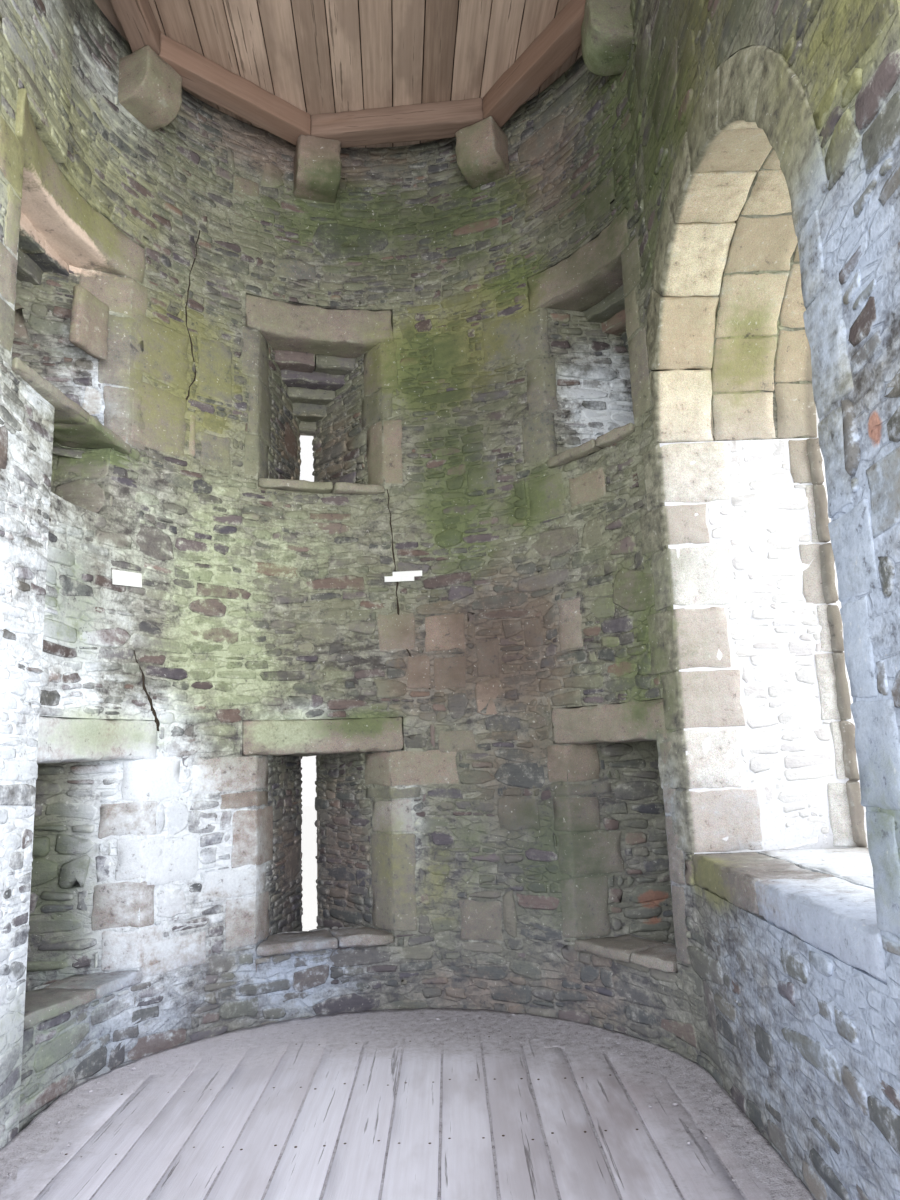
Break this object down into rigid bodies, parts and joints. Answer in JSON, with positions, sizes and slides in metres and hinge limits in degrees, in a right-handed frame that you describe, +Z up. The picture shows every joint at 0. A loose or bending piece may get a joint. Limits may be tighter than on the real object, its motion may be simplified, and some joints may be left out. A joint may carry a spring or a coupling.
{
  "type": "castle keep tower chamber",
  "caption": "Round-ended stone chamber of a castle keep's tower, with splayed loops, a tall arched window, a corbelled timber ceiling and a board floor, open at its inner end.",
  "frame": {"origin": "centre of the overall box, on the ground that the walls and sleepers stand on", "axes": "+Z up, +Y towards the round end, +X towards the flank with the tall window"},
  "size_m": [5.08, 4.79, 6.46],
  "materials": {
    "rubble_masonry": "thin schist rubble in pale lime mortar, with moss and algae",
    "dressed_granite": "tooled granite, weathered",
    "oak": "sawn oak, dry and checked",
    "weathered_boards": "worn floor boards, grey and dusty"
  },
  "bodies": {
    "root": {"left_flank_lower": "rubble_masonry", "left_flank_upper": "rubble_masonry", "left_pier_lower": "rubble_masonry", "left_pier_upper": "rubble_masonry", "left_lower_breast": "rubble_masonry", "left_lower_spandrel": "rubble_masonry", "left_upper_breast": "rubble_masonry", "left_upper_head": "rubble_masonry", "centre_lower_breast": "rubble_masonry", "centre_spandrel": "rubble_masonry", "centre_upper_head": "rubble_masonry", "centre_pier": "rubble_masonry", "right_lower_breast": "rubble_masonry", "right_spandrel": "rubble_masonry", "right_upper_head": "rubble_masonry", "right_pier": "rubble_masonry", "window_breast": "rubble_masonry", "window_head": "rubble_masonry", "right_flank": "rubble_masonry", "left_lower_lintel": "dressed_granite", "centre_lower_lintel": "dressed_granite", "right_lower_lintel": "dressed_granite", "left_upper_lintel": "dressed_granite", "centre_upper_lintel": "dressed_granite", "right_upper_lintel": "dressed_granite", "lower_sill_slabs": "dressed_granite", "upper_sill_slabs": "dressed_granite", "upper_soffit_slabs": "rubble_masonry", "window_arch_ring": "dressed_granite", "window_sill": "dressed_granite", "corbel_left": "dressed_granite", "corbel_far_left": "dressed_granite", "corbel_far_right": "dressed_granite", "left_flank_corbels": "dressed_granite", "right_flank_corbels": "dressed_granite", "beam_left_flank": "oak", "beam_left_short": "oak", "beam_left_diagonal": "oak", "beam_far": "oak", "beam_right_diagonal": "oak", "beam_right_flank": "oak", "beam_front": "oak", "ceiling_boards": "oak", "floor_boards": "weathered_boards", "floor_sleepers": "weathered_boards"}
  },
  "joints": []
}
